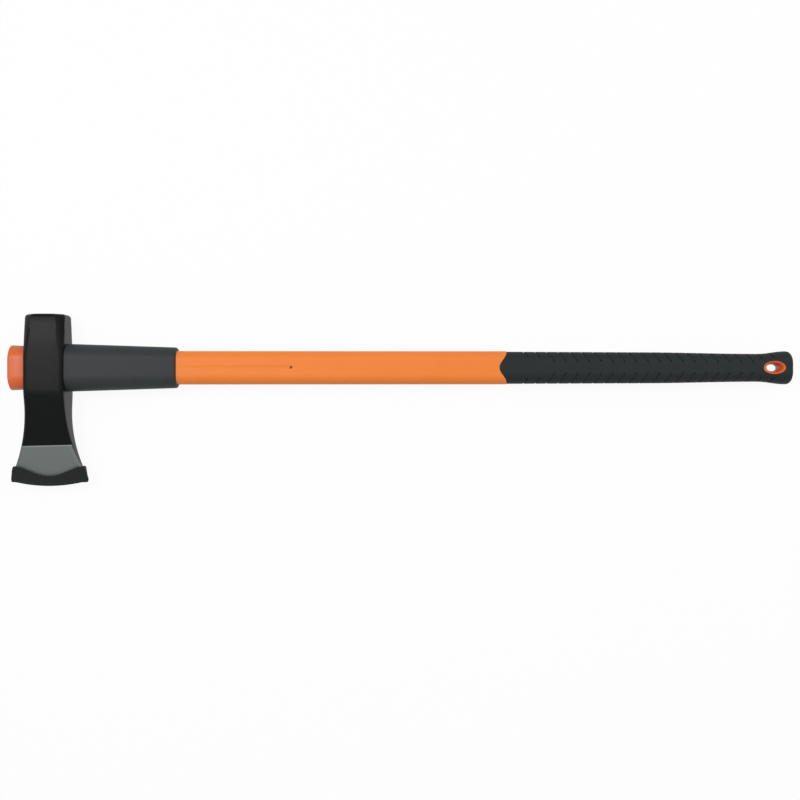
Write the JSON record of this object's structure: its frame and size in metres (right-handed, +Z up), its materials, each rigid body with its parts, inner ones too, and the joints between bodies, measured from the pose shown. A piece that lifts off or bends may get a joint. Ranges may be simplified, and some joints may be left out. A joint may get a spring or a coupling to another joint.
{
  "type": "splitting maul",
  "caption": "Long-handled splitting maul lying on its cheek: forged wedge head with a square poll, oval glass-fibre handle, strike collar, grooved grip and pull-off blade guard.",
  "frame": {"origin": "middle of the underside of the maul's bounding box, as it lies on one cheek", "axes": "+X along the handle from the head to the grip, +Y from the cutting edge towards the poll, +Z up through the thickness of the head"},
  "size_m": [0.895, 0.1963, 0.048],
  "materials": {
    "painted_forging": "satin black paint over forged steel, bare ground steel on the bit",
    "deep_orange_plastic": "solid moulded polypropylene",
    "resin": "cast epoxy",
    "glass_fibre": "pultruded glass fibre",
    "orange_plastic": "thin moulded polypropylene, smooth satin",
    "collar_rubber": "smooth matt moulded rubber",
    "grip_rubber": "matt soft moulding with grooves",
    "guard_rubber": "matt moulded rubber"
  },
  "bodies": {
    "maul": {"maul_head": "painted_forging", "eye_plug": "deep_orange_plastic", "eye_resin": "resin", "glass_fibre_core": "glass_fibre", "handle_jacket": "orange_plastic", "strike_collar": "collar_rubber", "hand_grip": "grip_rubber", "hanging_eyelet": "deep_orange_plastic"},
    "guard": {"blade_guard": "guard_rubber"}
  },
  "joints": [
    {"name": "guard_slide", "type": "slide", "parent": "maul", "child": "guard", "axis": [0, -1, 0], "range_m": [0, 0.03]}
  ]
}
